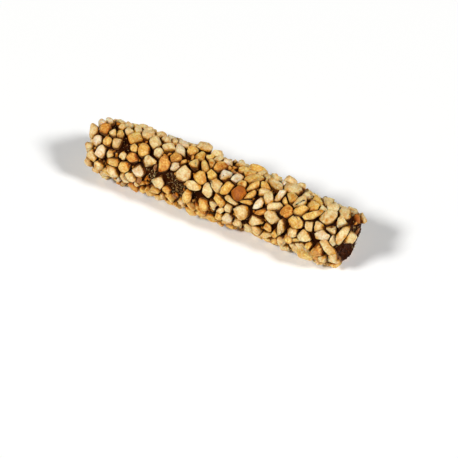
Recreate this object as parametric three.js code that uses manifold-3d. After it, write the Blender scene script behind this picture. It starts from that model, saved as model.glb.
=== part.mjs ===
// A rolled wafer stick, coated all over in dark chocolate and rolled in chopped roasted nuts
// while the chocolate was soft. Stick, coat and nuts hold together as one piece.
// Millimetres, +Z up. The stick lies along X, centred over the origin, and rests on the flats
// of its lowest nuts at z = 0.
import * as THREE from "three";
import { ConvexGeometry } from "three/addons/geometries/ConvexGeometry.js";
import { mergeVertices } from "three/addons/utils/BufferGeometryUtils.js";
import Module from "manifold-3d";

const stickLength = 84; // over the chocolate
const stickRadius = 7.85; // over the chocolate
const rimRadius = 2.4; // rounding between the stick's side and its ends
const roundSteps = 14;
const rimSteps = 2;
const standHeight = 9.6; // from the stick's axis down to what it rests on

const looseNuts = 350; // beside the placed ones
const spreadSteps = [0.7548776662, 0.569840291]; // along and round, for an even spread
const spreadStart = [0.3, 0.2];
const nutReach = 1.74; // half the usual length of a nut
const reachRange = [0.66, 1.22]; // of the usual
const nutThickness = 1.36; // half the usual thickness
const thicknessRange = [0.82, 1.18];
const placedThicknessRange = [0.9, 1.1];
const sliverShare = [0.16, 0.42]; // of the nuts, from the -X end to the +X end
const sliverStretch = [1.6, 2.3]; // length over width
const sliverReach = 0.92;
const chunkStretch = [1, 1.35];
const nutLift = 0.6; // from the chocolate's surface out to the middle of a nut

const fourCorners = 0.7; // share of the nuts with four corners, the others have five
const cornerScatter = 0.55; // of the angle between two corners
const cornerReach = [0.88, 1.12]; // of the nut's half length and half width
const cornerHeight = [0.05, 0.75]; // above the nut's middle, in half thicknesses
const topShift = [-0.35, 0.35]; // off the nut's middle, in half lengths and half widths
const rootDepth = 3.5; // how far a nut goes in, in half thicknesses

const settleRounds = 140;
const packing = 0.98; // distance between two nuts' middles, as a share of their reach
const pushShare = 0.4; // share of an overlap that each nut gives way in one round
const patchPush = 0.6; // the same, at a bare patch
const patchReach = 0.8; // share of a nut's reach that keeps off a bare patch
const turnShare = 0.05;

// The largest and the oddest nuts lie where they are put: place along the stick, angle round it
// from the top towards -Y, length, width, and turn from the stick's direction. A nut on an end
// also gives how far across from the axis it is, and one that stands proud its own lift.
const placedNuts = [
  { along: -39, round: 14, length: 3.6, width: 3.4, turn: 0 },
  { along: -39.2, round: 41, length: 3.2, width: 2.8, turn: 60 },
  { along: -37.2, round: 58, length: 4.2, width: 3.4, turn: 80 },
  { along: -33.3, round: 32, length: 3.6, width: 2.9, turn: 90 },
  { along: -28.8, round: 71, length: 3.8, width: 3.5, turn: 0 },
  { along: -26.8, round: 48, length: 3.8, width: 3, turn: 0 },
  { along: -23.7, round: 69, length: 4, width: 3.9, turn: 45 },
  { along: -21.3, round: 43, length: 5.4, width: 3.8, turn: 20 },
  { along: -16.8, round: 73, length: 4.6, width: 3.9, turn: 60 },
  { along: -16.5, round: 37, length: 4.6, width: 3.6, turn: 100 },
  { along: -13, round: 34, length: 3.5, width: 2.4, turn: 35 },
  { along: -9.8, round: 41, length: 4.9, width: 4.5, turn: 90 },
  { along: -5.8, round: 55, length: 4.8, width: 3.1, turn: 10 },
  { along: -4.4, round: 37, length: 4.2, width: 4, turn: 120 },
  { along: -1, round: 1, length: 4.7, width: 3.1, turn: 75 },
  { along: 1.8, round: 15, length: 4.3, width: 4, turn: 0 },
  { along: 5.7, round: 11, length: 4, width: 3.4, turn: 90 },
  { along: 4.2, round: 38, length: 5.1, width: 3, turn: 65 },
  { along: 8.2, round: 38, length: 5, width: 4.5, turn: 90 },
  { along: 7, round: 56, length: 4.9, width: 1.9, turn: -20 },
  { along: 10.5, round: 69, length: 5, width: 4.7, turn: 30 },
  { along: 9.8, round: 0, length: 6.6, width: 3, turn: 45 },
  { along: 19.5, round: 13, length: 4.5, width: 2.4, turn: 85 },
  { along: 21.5, round: -14, length: 5.8, width: 4.7, turn: 20 },
  { along: 23.4, round: 37, length: 3.9, width: 3.7, turn: 0 },
  { along: 23, round: 70, length: 5.8, width: 2.4, turn: 95 },
  { along: 25.6, round: 14, length: 4.8, width: 2.9, turn: 85 },
  { along: 27.2, round: 48, length: 4.9, width: 3.8, turn: 10 },
  { along: 30.2, round: 28, length: 6.5, width: 2.8, turn: 45 },
  { along: 35, round: 18, length: 5.5, width: 4, turn: 55 },
  { along: 35.5, round: 55, length: 4.4, width: 2.6, turn: 12 },
  { along: 37.6, round: 73, length: 5, width: 2.7, turn: -40 },
  { along: 40.4, round: 40, length: 5.2, width: 2.8, turn: 80 },
  { along: 39.6, round: -28, length: 2.8, width: 2.5, turn: 0 },
  { along: 42, round: -26, across: 7, length: 2.9, width: 1.9, turn: 0 },
  { along: 42, round: -60, across: 7, length: 3, width: 2.5, turn: 30 },
  { along: 41.9, round: 41, across: 6.7, length: 3.7, width: 3.2, turn: 0 },
  { along: -9.2, round: -34, lift: 1.6, length: 4.4, width: 3.4, turn: 30 },
  { along: -5, round: -37, lift: 1.4, length: 3.7, width: 3.2, turn: 0 },
  { along: 8.3, round: -35, lift: 1.5, length: 4.7, width: 3.3, turn: 10 },
  { along: 18.8, round: -40, lift: 1.3, length: 4.1, width: 2.9, turn: 0 },
  { along: 31, round: 111, lift: 1.4, length: 4.4, width: 3.4, turn: 20 },
  { along: 0, round: 180, lift: 0.8, length: 5.2, width: 4.8, turn: 0 },
];

// Where the chocolate shows bare.
const barePatches = [
  { along: -41.6, round: 44, radius: 1.3 },
  { along: -40.4, round: -34, radius: 1.4 },
  { along: -37.4, round: -9, radius: 1.5 },
  { along: -30.2, round: 31, radius: 2 },
  { along: -30, round: 215, radius: 1.9 },
  { along: -19.6, round: 60, radius: 1.7 },
  { along: -13.4, round: 60, radius: 1.7 },
  { along: -11.6, round: 72, radius: 2.4 },
  { along: -9.4, round: 86, radius: 1.4 },
  { along: -2.4, round: 66, radius: 1.4 },
  { along: 3, round: 165, radius: 1.7 },
  { along: 12, round: 92, radius: 1.6 },
  { along: 14, round: 250, radius: 2.2 },
  { along: 17, round: 43, radius: 1 },
  { along: 25.4, round: 61, radius: 1.1 },
  { along: 30.5, round: -48, radius: 1.2 },
  { along: 33, round: 200, radius: 1.8 },
  { along: 36.8, round: -52, radius: 1.6 },
  { along: 42, round: 8, radius: 2.3 },
  { along: 41, round: 72, radius: 2.4 },
  { along: 60, round: 72, across: 4.6, radius: 3 },
  { along: 60, round: 10, across: 4.4, radius: 2 },
];

// The +X end, where the stick was held, has few nuts round its far rim.
const heldRim = { along: 41.2, from: 105, to: 305, step: 25, radius: 1.7 };
for (let round = heldRim.from; round <= heldRim.to; round += heldRim.step) {
  barePatches.push({ along: heldRim.along, round, radius: heldRim.radius });
}

// A number from 0 to 1 that looks random and is always the same for nut k and use j.
function chance(k, j) {
  const mixed = Math.sin(k * 127.1 + j * 311.7) * 43758.5453;
  return mixed - Math.floor(mixed);
}

function between([low, high], share) {
  return low + (high - low) * share;
}

// The stick is an inner cylinder grown by rimRadius all over. This finds the nearest place on
// that inner cylinder, and the direction out from it to the point.
function wayOut(point) {
  const innerHalf = stickLength / 2 - rimRadius;
  const across = Math.hypot(point.y, point.z);
  const shrink = Math.min(1, (stickRadius - rimRadius) / Math.max(across, 1e-9));
  const inner = new THREE.Vector3(
    THREE.MathUtils.clamp(point.x, -innerHalf, innerHalf),
    point.y * shrink,
    point.z * shrink,
  );
  return { inner, out: point.clone().sub(inner).normalize() };
}

function placeOver(point, lift) {
  const { inner, out } = wayOut(point);
  return inner.addScaledVector(out, rimRadius + lift);
}

function spot({ along, round, across = stickRadius, lift = nutLift }) {
  const angle = THREE.MathUtils.degToRad(round);
  const start = new THREE.Vector3(along, -Math.sin(angle) * across, Math.cos(angle) * across);
  return placeOver(start, lift);
}

// The part of a direction that runs along the surface.
function flattened(direction, out) {
  return direction.addScaledVector(out, -direction.dot(out)).normalize();
}

// Loose nut k before it settles: they are spread evenly over the unrolled stick and its -X end.
function looseNut(k) {
  const endShare = stickRadius / (2 * stickLength + stickRadius);
  const [spread, turn] = spreadSteps.map((step, axis) => (spreadStart[axis] + k * step) % 1);
  const angle = Math.PI * 2 * turn;
  const start = new THREE.Vector3(0, -Math.sin(angle), Math.cos(angle));
  if (spread < endShare) {
    start.multiplyScalar(stickRadius * Math.sqrt(spread / endShare));
    start.x = -stickLength / 2 - rimRadius;
  } else {
    start.multiplyScalar(stickRadius * 2);
    start.x = ((spread - endShare) / (1 - endShare) - 0.5) * (stickLength - 2);
  }
  const middle = placeOver(start, nutLift);
  const { out } = wayOut(middle);
  const lengthways = flattened(new THREE.Vector3(0.3, 1, 0.7), out);
  lengthways.applyAxisAngle(out, chance(k, 4) * Math.PI * 2);
  const isSliver = chance(k, 1) < between(sliverShare, middle.x / stickLength + 0.5);
  const stretch = between(isSliver ? sliverStretch : chunkStretch, chance(k, 2));
  const reach = nutReach * between(reachRange, chance(k, 3)) * (isSliver ? sliverReach : 1);
  const half = new THREE.Vector3(
    reach * Math.sqrt(stretch),
    reach / Math.sqrt(stretch),
    nutThickness * between(thicknessRange, chance(k, 5)),
  );
  return { k, middle, lengthways, half, isPlaced: false };
}

function placedNut(place, index) {
  const k = looseNuts + index;
  const middle = spot(place);
  const { out } = wayOut(middle);
  const startWay = Math.abs(out.x) > 0.9 ? new THREE.Vector3(0, 0, -1) : new THREE.Vector3(1, 0, 0);
  const lengthways = flattened(startWay, out);
  lengthways.applyAxisAngle(out, THREE.MathUtils.degToRad(place.turn));
  const half = new THREE.Vector3(
    place.length / 2,
    place.width / 2,
    nutThickness * between(placedThicknessRange, chance(k, 5)),
  );
  return { k, middle, lengthways, half, isPlaced: true };
}

// How far a nut, taken as an ellipsoid, reaches from its middle in a unit direction, and how
// fast that grows as the nut turns on the spot.
function reachTowards(nut, direction) {
  const { out } = wayOut(nut.middle);
  const sideways = out.clone().cross(nut.lengthways);
  const c = direction.dot(nut.lengthways);
  const s = direction.dot(sideways);
  const n = direction.dot(out);
  const reach = 1 / Math.hypot(c / nut.half.x, s / nut.half.y, n / nut.half.z);
  const growth = reach ** 3 * c * s * (1 / nut.half.y ** 2 - 1 / nut.half.x ** 2);
  return { reach, growth };
}

// Nuts that overlap push each other along the surface and turn, a little in each round, and
// keep off the bare patches.
function settle(nuts) {
  const patches = barePatches.map((patch) => ({ middle: spot(patch), radius: patch.radius }));
  const farthest = nutReach * 4;
  for (let round = 0; round < settleRounds; round += 1) {
    const moves = nuts.map(() => ({ push: new THREE.Vector3(), turn: 0 }));
    nuts.forEach((nut, i) => {
      for (let j = i + 1; j < nuts.length; j += 1) {
        const apart = nuts[j].middle.clone().sub(nut.middle);
        const distance = apart.length();
        if (distance > farthest) continue;
        apart.divideScalar(distance);
        const mine = reachTowards(nut, apart);
        const theirs = reachTowards(nuts[j], apart);
        const overlap = Math.max(0, packing * (mine.reach + theirs.reach) - distance);
        const share = nut.isPlaced || nuts[j].isPlaced ? pushShare * 2 : pushShare;
        moves[i].push.addScaledVector(apart, -share * overlap);
        moves[j].push.addScaledVector(apart, share * overlap);
        moves[i].turn -= turnShare * overlap * mine.growth;
        moves[j].turn -= turnShare * overlap * theirs.growth;
      }
      for (const patch of patches) {
        const apart = patch.middle.clone().sub(nut.middle);
        const distance = apart.length();
        apart.divideScalar(distance);
        const wanted = patch.radius + patchReach * reachTowards(nut, apart).reach;
        moves[i].push.addScaledVector(apart, -patchPush * Math.max(0, wanted - distance));
      }
    });
    nuts.forEach((nut, i) => {
      if (nut.isPlaced) return;
      const { push, turn } = moves[i];
      const { out: before } = wayOut(nut.middle);
      push.addScaledVector(before, -push.dot(before));
      nut.middle = placeOver(nut.middle.add(push), nutLift);
      const { out } = wayOut(nut.middle);
      nut.lengthways.applyAxisAngle(out, turn);
      flattened(nut.lengthways, out);
    });
  }
}

// A nut has a ring of uneven corners above the chocolate, a top a little off its middle, and a
// root well inside the stick.
function nutGeometry({ k, middle, lengthways, half }) {
  const { out } = wayOut(middle);
  const sideways = out.clone().cross(lengthways);
  const place = (x, y, z) =>
    middle
      .clone()
      .addScaledVector(lengthways, half.x * x)
      .addScaledVector(sideways, half.y * y)
      .addScaledVector(out, half.z * z);
  const top = place(between(topShift, chance(k, 11)), between(topShift, chance(k, 12)), 1);
  const points = [top, place(0, 0, -rootDepth)];
  const corners = chance(k, 9) < fourCorners ? 4 : 5;
  for (let j = 0; j < corners; j += 1) {
    const angle = ((j + cornerScatter * chance(k, 20 + j)) / corners + chance(k, 10)) * Math.PI * 2;
    const reach = between(cornerReach, chance(k, 30 + j));
    const height = between(cornerHeight, chance(k, 40 + j));
    points.push(place(reach * Math.cos(angle), reach * Math.sin(angle), height));
  }
  return new ConvexGeometry(points);
}

// Half of the stick's outline, from one end of the axis to the other, turned about the axis.
function stickGeometry() {
  const outline = [new THREE.Vector2(0, -stickLength / 2)];
  for (const end of [-1, 1]) {
    for (let i = 0; i <= rimSteps; i += 1) {
      const angle = (Math.PI / 2) * (end < 0 ? i / rimSteps : 1 - i / rimSteps);
      const across = stickRadius - rimRadius + rimRadius * Math.sin(angle);
      const along = stickLength / 2 - rimRadius + rimRadius * Math.cos(angle);
      outline.push(new THREE.Vector2(across, end * along));
    }
  }
  outline.push(new THREE.Vector2(0, stickLength / 2));
  return new THREE.LatheGeometry(outline, roundSteps).rotateZ(-Math.PI / 2);
}

// Everything from what the stick rests on upwards.
function aboveRest() {
  const size = stickLength * 2;
  return new THREE.BoxGeometry(size, size, size).translate(0, 0, size / 2 - standHeight);
}

const wasm = await Module();
wasm.setup();

function solidFrom(geometry) {
  geometry.deleteAttribute("normal");
  geometry.deleteAttribute("uv");
  const merged = mergeVertices(geometry, 1e-4);
  return new wasm.Manifold(
    new wasm.Mesh({
      numProp: 3,
      vertProperties: merged.attributes.position.array,
      triVerts: new Uint32Array(merged.index.array),
    }),
  );
}

function geometryFrom(solid) {
  const mesh = solid.getMesh();
  const geometry = new THREE.BufferGeometry();
  geometry.setAttribute("position", new THREE.BufferAttribute(mesh.vertProperties, 3));
  geometry.setIndex(new THREE.BufferAttribute(mesh.triVerts, 1));
  return geometry;
}

function coatedStickGeometry() {
  const nuts = [];
  for (let k = 0; k < looseNuts; k += 1) nuts.push(looseNut(k));
  placedNuts.forEach((place, index) => nuts.push(placedNut(place, index)));
  settle(nuts);
  let solid = solidFrom(stickGeometry());
  for (const nut of nuts) solid = solid.add(solidFrom(nutGeometry(nut)));
  return geometryFrom(solid.intersect(solidFrom(aboveRest())));
}

// Moves a geometry so that its box is centred over the origin and stands on z = 0.
function onOrigin(geometry) {
  geometry.computeBoundingBox();
  const middle = geometry.boundingBox.getCenter(new THREE.Vector3());
  return geometry.translate(-middle.x, -middle.y, -geometry.boundingBox.min.z);
}

const nutGold = new THREE.MeshStandardMaterial({ color: 0xc48a45, roughness: 0.6, metalness: 0 });
const coatedRoll = new THREE.Mesh(onOrigin(coatedStickGeometry()), nutGold);
coatedRoll.name = "coated_roll";

const part = new THREE.Group();
part.add(coatedRoll);

export default part;
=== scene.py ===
import bpy
import numpy as np
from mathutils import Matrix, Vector


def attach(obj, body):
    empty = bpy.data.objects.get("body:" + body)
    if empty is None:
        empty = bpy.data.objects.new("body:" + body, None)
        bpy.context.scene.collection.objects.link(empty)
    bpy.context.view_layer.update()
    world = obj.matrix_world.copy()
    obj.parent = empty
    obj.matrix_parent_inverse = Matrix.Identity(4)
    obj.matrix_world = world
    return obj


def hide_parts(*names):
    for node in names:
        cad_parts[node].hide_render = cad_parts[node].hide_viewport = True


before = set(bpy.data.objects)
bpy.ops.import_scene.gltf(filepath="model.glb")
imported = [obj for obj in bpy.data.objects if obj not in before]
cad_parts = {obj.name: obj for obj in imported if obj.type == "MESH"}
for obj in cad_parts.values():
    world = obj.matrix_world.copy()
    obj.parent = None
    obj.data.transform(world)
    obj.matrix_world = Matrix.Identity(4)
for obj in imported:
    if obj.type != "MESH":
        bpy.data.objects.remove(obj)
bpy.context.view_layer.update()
mm = 0.001
beyond = 9.0   # more than any nut reaches, in millimetres and in half sizes


def chance(k, use):
    # looks random and is always the same for nut k: what is left over from whole numbers of a large
    # multiple of a sine; each use of a nut's chance has a number of its own
    mixed = np.sin(np.asarray(k) * 127.1 + use * 311.7) * 43758.5453
    return mixed - np.floor(mixed)


def between(ends, share):
    # the first end, and the share of the way to the second
    return ends[0] + (ends[1] - ends[0]) * share


def smoothStep(low, high, values):
    # 0 below low, 1 above high, and the curve 3t^2 - 2t^3 from one to the other
    t = np.clip((values - low) / (high - low), 0, 1)
    return t * t * (3 - 2 * t)


def unit(vectors):
    # each vector over its own length
    return vectors / np.linalg.norm(vectors, axis=-1, keepdims=True)


def dots(a, b):
    # the products of the coordinates added up, kept as a column
    return (a * b).sum(-1, keepdims=True)


def drawn(shares, chances):
    # a name for each chance, where the shares of the names add up to 1; the chances are kept just
    # under it, so that a name whose share is 0 isn't drawn
    names = np.array(list(shares))
    pick = np.searchsorted(np.cumsum(list(shares.values())), chances * 0.9999)
    return names[np.minimum(pick, len(names) - 1)]


def waves(points, length, seed, count=28):
    # an uneven field between about -1 and 1: plane sine waves of about one length, in many
    # directions, added up over the root of their number
    rng = np.random.default_rng(seed)
    ways = unit(rng.normal(size=(count, 3))) * (2 * np.pi / length) * rng.uniform(0.7, 1.4, (count, 1))
    return np.sin(points @ ways.T + rng.uniform(0, 2 * np.pi, count)).sum(-1) / np.sqrt(count)


# The stick, the same as in the solid.
stick = dict(
    length=84,       # over the chocolate
    radius=7.85,
    rim=2.4,         # rounding between the side and the ends
    stand=9.6,       # from the axis down to the table
    strewn=82,       # length over which loose things lie
)


def wayOut(points):
    # the stick is an inner cylinder grown by rim: the nearest place on that cylinder, and the unit
    # way from there to the point
    innerHalf = stick["length"] / 2 - stick["rim"]
    inner = points.copy()
    inner[:, 0] = np.clip(points[:, 0], -innerHalf, innerHalf)
    across = np.maximum(np.hypot(points[:, 1], points[:, 2]), 1e-9)
    inner[:, 1:] *= np.minimum(1, (stick["radius"] - stick["rim"]) / across)[:, None]
    return inner, unit(points - inner)


def placeOver(points, lift):
    # the same way out from the stick, at the height lift over its plain surface
    inner, out = wayOut(points)
    return inner + out * (stick["rim"] + np.reshape(lift, (-1, 1)))


def spots(along, turn, across, lift):
    # over the place that lies along the axis and across from it, at a turn in degrees from the top
    # towards -Y
    angle = np.radians(turn)
    return placeOver(np.stack([along, -np.sin(angle) * across, np.cos(angle) * across], -1), lift)


def ringOf(angle):
    # unit ways square to the stick, at angles round it from the top towards -Y
    return np.stack([0 * angle, -np.sin(angle), np.cos(angle)], -1)


def flattened(vectors, out):
    # unit ways along the surface: each vector less what points out
    return unit(vectors - out * dots(vectors, out))


def turnedAbout(vectors, out, angle):
    # a turn about a unit axis: v cos a + (axis x v) sin a + axis (axis.v)(1 - cos a)
    c, s = np.cos(angle)[:, None], np.sin(angle)[:, None]
    return vectors * c + np.cross(out, vectors) * s + out * dots(out, vectors) * (1 - c)


# Where the nuts lie, the same as in the solid.
nuts = dict(
    loose=350,
    spreadSteps=(0.7548776662, 0.569840291),
    spreadStart=(0.3, 0.2),
    reach=1.74,                  # half the usual length
    reachRange=(0.66, 1.22),
    thickness=1.36,              # half the usual thickness
    thicknessRange=(0.82, 1.18),
    placedThicknessRange=(0.9, 1.1),
    sliverShare=(0.16, 0.42),    # from the -X end to the +X end
    sliverStretch=(1.6, 2.3),
    sliverReach=0.92,
    chunkStretch=(1, 1.35),
    lift=0.6,                    # from the chocolate out to the middle of a nut
    rounds=140,
    packing=0.98,
    pushShare=0.4,
    patchPush=0.6,
    patchReach=0.8,
    turnShare=0.05,
    startWay=(0.3, 1, 0.7),      # turned from here by chance
    corners=4,                   # of the solid's nuts; some have one more
    cornersShare=0.7,
    cornerScatter=0.55,
    cornerReach=(0.88, 1.12),
    cornerHeight=(0.05, 0.75),
    topShift=(-0.35, 0.35),
)

# The largest and the oddest nuts: along, turn round the stick, length, width, turn from the
# stick's direction, kind, shape, and for some their lift or how far across they are.
placedNuts = [
    (-39, 14, 3.6, 3.4, 0, "toasted", "block"),
    (-39.2, 41, 3.2, 2.8, 60, "white", "chunk"),
    (-37.2, 58, 4.2, 3.4, 80, "white", "chunk"),
    (-33.3, 32, 3.6, 2.9, 90, "pale", "block"),
    (-28.8, 71, 3.8, 3.5, 0, "golden", "lump"),
    (-26.8, 48, 3.8, 3, 0, "toasted", "lump"),
    (-23.7, 69, 4, 3.9, 45, "white", "block"),
    (-21.3, 43, 5.4, 3.8, 20, "pale", "wedge"),
    (-16.8, 73, 4.6, 3.9, 60, "pale", "wedge"),
    (-16.5, 37, 4.6, 3.6, 100, "toasted", "chunk"),
    (-13, 34, 3.5, 2.4, 35, "white", "bean"),
    (-9.8, 41, 4.9, 4.5, 90, "pale", "lump"),
    (-5.8, 55, 4.8, 3.1, 10, "pale", "bean"),
    (-4.4, 37, 4.2, 4, 120, "golden", "lump"),
    (-1, 1, 4.7, 3.1, 75, "toasted", "block"),
    (1.8, 15, 4.3, 4, 0, "white", "wedge"),
    (5.7, 11, 4, 3.4, 90, "white", "block"),
    (4.2, 38, 5.1, 3, 65, "golden", "block"),
    (8.2, 38, 5, 4.5, 90, "roasted", "chunk"),
    (7, 56, 4.9, 1.9, -20, "pale", "bean"),
    (10.5, 69, 5, 4.7, 30, "pale", "chunk"),
    (9.8, 0, 6.6, 3, 45, "golden", "block"),
    (19.5, 13, 4.5, 2.4, 85, "white", "block"),
    (21.5, -14, 5.8, 4.7, 20, "pale", "chunk"),
    (23.4, 37, 3.9, 3.7, 0, "toasted", "chunk"),
    (23, 70, 5.8, 2.4, 95, "pale", "wedge"),
    (25.6, 14, 4.8, 2.9, 85, "pale", "bean"),
    (27.2, 48, 4.9, 3.8, 10, "golden", "bean"),
    (30.2, 28, 6.5, 2.8, 45, "golden", "wedge"),
    (35, 18, 5.5, 4, 55, "pale", "lump"),
    (35.5, 55, 4.4, 2.6, 12, "white", "bean"),
    (37.6, 73, 5, 2.7, -40, "pale", "lump"),
    (40.4, 40, 5.2, 2.8, 80, "pale", "lump"),
    (39.6, -28, 2.8, 2.5, 0, "pale", "chunk"),
    (42, -26, 2.9, 1.9, 0, "roasted", "chunk", dict(across=7)),
    (42, -60, 3, 2.5, 30, "pale", "chunk", dict(across=7)),
    (41.9, 41, 3.7, 3.2, 0, "pale", "block", dict(across=6.7)),
    (-9.2, -34, 4.4, 3.4, 30, "pale", "chunk", dict(lift=1.6)),
    (-5, -37, 3.7, 3.2, 0, "pale", "block", dict(lift=1.4)),
    (8.3, -35, 4.7, 3.3, 10, "golden", "lump", dict(lift=1.5)),
    (18.8, -40, 4.1, 2.9, 0, "pale", "chunk", dict(lift=1.3)),
    (31, 111, 4.4, 3.4, 20, "golden", "lump", dict(lift=1.4)),
    (0, 180, 5.2, 4.8, 0, "golden", "lump", dict(lift=0.8)),
]
placedOwn = [row[7] if len(row) > 7 else {} for row in placedNuts]
placedAcross = np.array([own.get("across", stick["radius"]) for own in placedOwn])
placedLift = np.array([own.get("lift", nuts["lift"]) for own in placedOwn])

# Where the chocolate shows bare: along, turn round the stick, radius, and for some the place across.
barePatches = [
    (-41.6, 44, 1.3),
    (-40.4, -34, 1.4),
    (-37.4, -9, 1.5),
    (-30.2, 31, 2),
    (-30, 215, 1.9),
    (-19.6, 60, 1.7),
    (-13.4, 60, 1.7),
    (-11.6, 72, 2.4),
    (-9.4, 86, 1.4),
    (-2.4, 66, 1.4),
    (3, 165, 1.7),
    (12, 92, 1.6),
    (14, 250, 2.2),
    (17, 43, 1),
    (25.4, 61, 1.1),
    (30.5, -48, 1.2),
    (33, 200, 1.8),
    (36.8, -52, 1.6),
    (42, 8, 2.3),
    (41, 72, 2.4),
    (60, 72, 3, 4.6),
    (60, 10, 2, 4.4),
]
bareRim = dict(along=41.2, first=105, last=305, step=25, radius=1.7)
for turn in range(bareRim["first"], bareRim["last"] + 1, bareRim["step"]):
    barePatches.append((bareRim["along"], turn, bareRim["radius"]))


def placesOf(rows, lift):
    # the middles of the places in the rows, at the height lift, and their radii
    columns = [(row + (stick["radius"],))[:4] for row in rows]
    along, turn, radius, across = np.array(columns, float).T
    return spots(along, turn, across, lift), radius


def startingNuts():
    # loose nuts spread evenly over the unrolled stick and its -X end, then the placed ones
    k = np.arange(nuts["loose"])
    endShare = stick["radius"] / (2 * stick["length"] + stick["radius"])
    spread, around = [(nuts["spreadStart"][i] + k * nuts["spreadSteps"][i]) % 1 for i in (0, 1)]
    ring = ringOf(2 * np.pi * around)
    onEnd = ring * (stick["radius"] * np.sqrt(spread / endShare))[:, None]
    onEnd[:, 0] = -stick["length"] / 2 - stick["rim"]
    onSide = ring * stick["radius"] * 2
    onSide[:, 0] = ((spread - endShare) / (1 - endShare) - 0.5) * stick["strewn"]
    middle = placeOver(np.where((spread < endShare)[:, None], onEnd, onSide), nuts["lift"])
    out = wayOut(middle)[1]
    start = flattened(np.tile(nuts["startWay"], (len(k), 1)), out)
    lengthways = turnedAbout(start, out, chance(k, 4) * 2 * np.pi)
    isSliver = chance(k, 1) < between(nuts["sliverShare"], middle[:, 0] / stick["length"] + 0.5)
    sliver, chunk = [between(nuts[ends], chance(k, 2)) for ends in ("sliverStretch", "chunkStretch")]
    stretch = np.where(isSliver, sliver, chunk)
    reach = nuts["reach"] * between(nuts["reachRange"], chance(k, 3))
    reach[isSliver] *= nuts["sliverReach"]
    thick = nuts["thickness"] * between(nuts["thicknessRange"], chance(k, 5))
    half = np.stack([reach * np.sqrt(stretch), reach / np.sqrt(stretch), thick], -1)

    along, turn, length, width, askew = np.array([row[:5] for row in placedNuts], float).T
    kPlaced = nuts["loose"] + np.arange(len(placedNuts))
    middlePlaced = spots(along, turn, placedAcross, placedLift)
    outPlaced = wayOut(middlePlaced)[1]
    onEnd = np.abs(outPlaced[:, :1]) > 0.9
    startWay = np.where(onEnd, [0.0, 0, -1], [1.0, 0, 0])   # down on the ends, elsewhere towards +X
    wayPlaced = turnedAbout(flattened(startWay, outPlaced), outPlaced, np.radians(askew))
    thickPlaced = nuts["thickness"] * between(nuts["placedThicknessRange"], chance(kPlaced, 5))
    halfPlaced = np.stack([length / 2, width / 2, thickPlaced], -1)
    return [np.r_[pair] for pair in (
        (k, kPlaced), (middle, middlePlaced), (lengthways, wayPlaced), (half, halfPlaced))]


def reachTowards(directions, lengthways, out, half):
    # an ellipsoid's reach in a unit direction, one over the root of the sum of (part / half size)^2,
    # and how fast it grows as the ellipsoid turns
    c, s, n = [dots(directions, way) for way in (lengthways, np.cross(out, lengthways), out)]
    a, b, t = half[:, :1], half[:, 1:2], half[:, 2:]
    reach = 1 / np.sqrt((c / a) ** 2 + (s / b) ** 2 + (n / t) ** 2)
    return reach, reach ** 3 * c * s * (1 / b ** 2 - 1 / a ** 2)


def settledNuts():
    # nuts that overlap push each other along the surface and turn, by shares of the overlap, and
    # keep off the bare patches; the placed ones stay
    k, middle, lengthways, half = startingNuts()
    free = k < nuts["loose"]
    patch, patchRadius = placesOf(barePatches, nuts["lift"])
    for _ in range(nuts["rounds"]):
        out = wayOut(middle)[1]
        push, turn = np.zeros_like(middle), np.zeros((len(k), 1))
        apart = middle[None] - middle[:, None]
        distance = np.linalg.norm(apart, axis=-1)
        i, j = np.nonzero(np.triu(distance <= nuts["reach"] * 4, 1))
        way, distance = unit(apart[i, j]), distance[i, j][:, None]
        mine, myGrowth = reachTowards(way, lengthways[i], out[i], half[i])
        theirs, theirGrowth = reachTowards(way, lengthways[j], out[j], half[j])
        overlap = np.maximum(0, nuts["packing"] * (mine + theirs) - distance)
        share = nuts["pushShare"] * np.where(free[i] & free[j], 1, 2)[:, None]
        for n, away, growth in ((i, -way, myGrowth), (j, way, theirGrowth)):
            np.add.at(push, n, away * share * overlap)
            np.add.at(turn, n, -nuts["turnShare"] * overlap * growth)
        apart = patch[None] - middle[:, None]
        distance = np.linalg.norm(apart, axis=-1)
        i, j = np.nonzero(distance < patchRadius.max() + nuts["reach"] * 2)
        way, distance = unit(apart[i, j]), distance[i, j][:, None]
        mine = reachTowards(way, lengthways[i], out[i], half[i])[0]
        wanted = patchRadius[j][:, None] + nuts["patchReach"] * mine
        np.add.at(push, i, -way * nuts["patchPush"] * np.maximum(0, wanted - distance))
        push -= out * dots(push, out)
        push[~free], turn[~free] = 0, 0
        middle[free] = placeOver(middle[free] + push[free], nuts["lift"])
        out = wayOut(middle)[1]
        lengthways = flattened(turnedAbout(lengthways, out, turn[:, 0]), out)
    return k, middle, lengthways, half


k, middle, lengthways, half = settledNuts()
out = wayOut(middle)[1]
sideways = np.cross(out, lengthways)


def shiftToOrigin():
    # the solid was moved so that its box is centred on the origin: the same, from the middle of the
    # box round its nuts' corners and tops
    corners = nuts["corners"] + (chance(k, 9) >= nuts["cornersShare"])
    places = []
    for j in range(nuts["corners"] + 1):
        angle = ((j + nuts["cornerScatter"] * chance(k, 20 + j)) / corners + chance(k, 10)) * 2 * np.pi
        reach = between(nuts["cornerReach"], chance(k, 30 + j)) * (j < corners)
        height = between(nuts["cornerHeight"], chance(k, 40 + j)) * half[:, 2]
        places.append(middle + lengthways * (reach * np.cos(angle) * half[:, 0])[:, None]
                      + sideways * (reach * np.sin(angle) * half[:, 1])[:, None] + out * height[:, None])
    tops = np.stack([between(nuts["topShift"], chance(k, use)) for use in (11, 12)], -1) * half[:, :2]
    places.append(middle + lengthways * tops[:, :1] + sideways * tops[:, 1:] + out * half[:, 2:])
    places = np.concatenate(places)
    centre = (places.min(0) + places.max(0)) / 2
    return np.array([-centre[0], -centre[1], stick["stand"]])


shift = shiftToOrigin()
print("nuts settled:", len(k), "and moved by", shift.round(3), "mm")

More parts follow.
